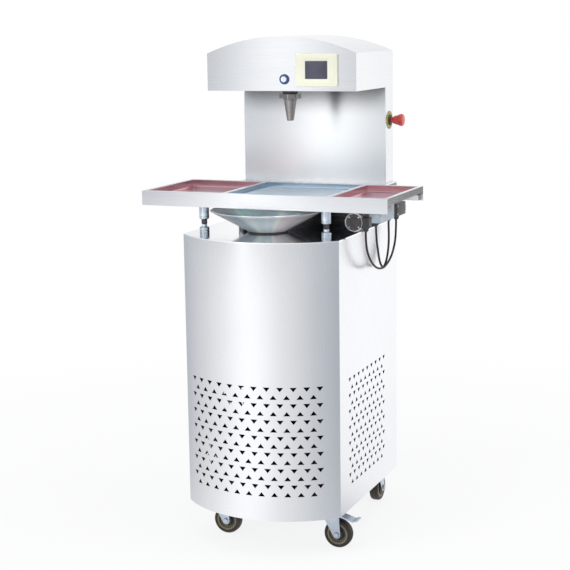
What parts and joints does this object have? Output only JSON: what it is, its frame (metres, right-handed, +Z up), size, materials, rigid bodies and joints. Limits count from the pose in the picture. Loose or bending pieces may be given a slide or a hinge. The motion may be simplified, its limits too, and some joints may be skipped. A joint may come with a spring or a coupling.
{
  "type": "chocolate melting tank",
  "caption": "Stainless chocolate melting and tempering tank on castors, with a vibrating tray table over its bowl, a pouring head and a control screen.",
  "frame": {"origin": "on the floor under the middle of the whole outline", "axes": "+Z up, -Y towards the bowed front panel, +X towards the right side with the vibrator and cables"},
  "size_m": [0.715, 0.62, 1.397],
  "materials": {
    "brushed_stainless": "satin, brushed along its length",
    "polished_stainless": "polished",
    "turned_aluminium": "turned, satin",
    "cast_aluminium": "cast, matt",
    "zinc_steel": "zinc plated",
    "grey_paint": "semi-gloss",
    "black_paint": "semi-gloss",
    "grey_plastic": "matt",
    "black_plastic": "matt",
    "ivory_plastic": "matt",
    "white_plastic": "gloss",
    "blue_plastic": "gloss",
    "yellow_plastic": "matt",
    "red_plastic": "gloss",
    "dark_screen": "gloss",
    "black_rubber": "matt",
    "wheel_rubber": "matt"
  },
  "bodies": {
    "cabinet": {"base_plate": "zinc_steel", "corner_posts": "zinc_steel", "deck": "polished_stainless", "front_panel": "brushed_stainless", "side_panel_right": "brushed_stainless", "side_panel_left": "brushed_stainless", "rear_panel": "brushed_stainless", "caster_plates": "zinc_steel", "tank_bowl": "polished_stainless", "tank_heater": "black_rubber", "pump_housing": "cast_aluminium", "pump_motor": "grey_paint", "riser_pipe": "polished_stainless", "compressor": "black_paint", "condenser": "cast_aluminium", "control_box": "grey_plastic", "plinth": "brushed_stainless", "column_front": "brushed_stainless", "cheek_right": "brushed_stainless", "cheek_left": "brushed_stainless", "head_front": "brushed_stainless", "head_top": "brushed_stainless", "head_floor": "brushed_stainless", "column_back": "brushed_stainless", "nozzle_union": "grey_paint", "nozzle": "polished_stainless", "panel_bezel": "ivory_plastic", "panel_screen": "dark_screen", "switch_collars": "blue_plastic", "estop_plate": "yellow_plastic", "mount_feet": "turned_aluminium", "isolators": "black_rubber", "rear_cable_box": "grey_plastic", "power_inlet": "black_plastic", "cable_outer": "black_rubber", "cable_inner": "black_rubber", "cover_screws": "zinc_steel"},
    "table": {"table_frame": "brushed_stainless", "left_pan": "polished_stainless", "right_pan": "polished_stainless", "drip_pan": "polished_stainless", "mount_sleeves": "turned_aluminium", "vibrator_housing": "cast_aluminium", "junction_box": "grey_plastic"},
    "grid": {"grid": "brushed_stainless"},
    "vibrator_rotor": {"vibrator_rotor": "zinc_steel"},
    "fan": {"fan": "black_plastic"},
    "pump_screw": {"pump_screw": "polished_stainless"},
    "button": {"button_cap": "white_plastic"},
    "estop": {"estop_knob": "red_plastic"},
    "fork_front_right": {"fork_front_right": "zinc_steel"},
    "wheel_front_right": {"wheel_front_right": "wheel_rubber"},
    "fork_front_left": {"fork_front_left": "zinc_steel"},
    "wheel_front_left": {"wheel_front_left": "wheel_rubber"},
    "fork_rear_right": {"fork_rear_right": "zinc_steel"},
    "wheel_rear_right": {"wheel_rear_right": "wheel_rubber"},
    "fork_rear_left": {"fork_rear_left": "zinc_steel"},
    "wheel_rear_left": {"wheel_rear_left": "wheel_rubber"},
    "pedal_right": {"brake_pedal_right": "zinc_steel"},
    "pedal_left": {"brake_pedal_left": "zinc_steel"}
  },
  "joints": [
    {"name": "table_bounce", "type": "slide", "parent": "cabinet", "child": "table", "axis": [0, 0, 1], "range_m": [-0.0015, 0.0015], "stiffness_N_per_m": 90000, "springref_m": 0.0024, "deforming": ["isolators"]},
    {"name": "grid_lift", "type": "slide", "parent": "table", "child": "grid", "axis": [0, 0, 1], "range_m": [0, 0.12]},
    {"name": "vibrator_spin", "type": "hinge", "parent": "table", "child": "vibrator_rotor", "pos_m": [0.228, -0.061, 0.902], "axis": [0, 1, 0], "continuous": true},
    {"name": "fan_spin", "type": "hinge", "parent": "cabinet", "child": "fan", "pos_m": [0, -0.19, 0.2395], "axis": [0, 1, 0], "continuous": true},
    {"name": "pump_spin", "type": "hinge", "parent": "cabinet", "child": "pump_screw", "pos_m": [-0.02, -0.105, 0.7], "axis": [0, 0, 1], "continuous": true},
    {"name": "button_press", "type": "slide", "parent": "cabinet", "child": "button", "axis": [0, 1, 0], "range_m": [0, 0.003], "stiffness_N_per_m": 700, "springref_m": -0.001},
    {"name": "estop_press", "type": "slide", "parent": "cabinet", "child": "estop", "axis": [-1, 0, 0], "range_m": [0, 0.005]},
    {"name": "swivel_front_right", "type": "hinge", "parent": "cabinet", "child": "fork_front_right", "pos_m": [0.168, -0.148, 0.0935], "axis": [0, 0, 1], "continuous": true},
    {"name": "roll_front_right", "type": "hinge", "parent": "fork_front_right", "child": "wheel_front_right", "pos_m": [0.198, -0.148, 0.04], "axis": [0, 1, 0], "continuous": true},
    {"name": "swivel_front_left", "type": "hinge", "parent": "cabinet", "child": "fork_front_left", "pos_m": [-0.168, -0.148, 0.0935], "axis": [0, 0, 1], "continuous": true},
    {"name": "roll_front_left", "type": "hinge", "parent": "fork_front_left", "child": "wheel_front_left", "pos_m": [-0.138, -0.148, 0.04], "axis": [0, 1, 0], "continuous": true},
    {"name": "swivel_rear_right", "type": "hinge", "parent": "cabinet", "child": "fork_rear_right", "pos_m": [0.168, 0.24, 0.0935], "axis": [0, 0, 1], "continuous": true},
    {"name": "roll_rear_right", "type": "hinge", "parent": "fork_rear_right", "child": "wheel_rear_right", "pos_m": [0.168, 0.27, 0.04], "axis": [1, 0, 0], "continuous": true},
    {"name": "swivel_rear_left", "type": "hinge", "parent": "cabinet", "child": "fork_rear_left", "pos_m": [-0.168, 0.24, 0.0935], "axis": [0, 0, 1], "continuous": true},
    {"name": "roll_rear_left", "type": "hinge", "parent": "fork_rear_left", "child": "wheel_rear_left", "pos_m": [-0.168, 0.27, 0.04], "axis": [1, 0, 0], "continuous": true},
    {"name": "brake_right", "type": "hinge", "parent": "fork_front_right", "child": "pedal_right", "pos_m": [0.199, -0.148, 0.093], "axis": [0, 1, 0], "range_deg": [0, 20]},
    {"name": "brake_left", "type": "hinge", "parent": "fork_front_left", "child": "pedal_left", "pos_m": [-0.137, -0.148, 0.093], "axis": [0, 1, 0], "range_deg": [0, 20]}
  ]
}
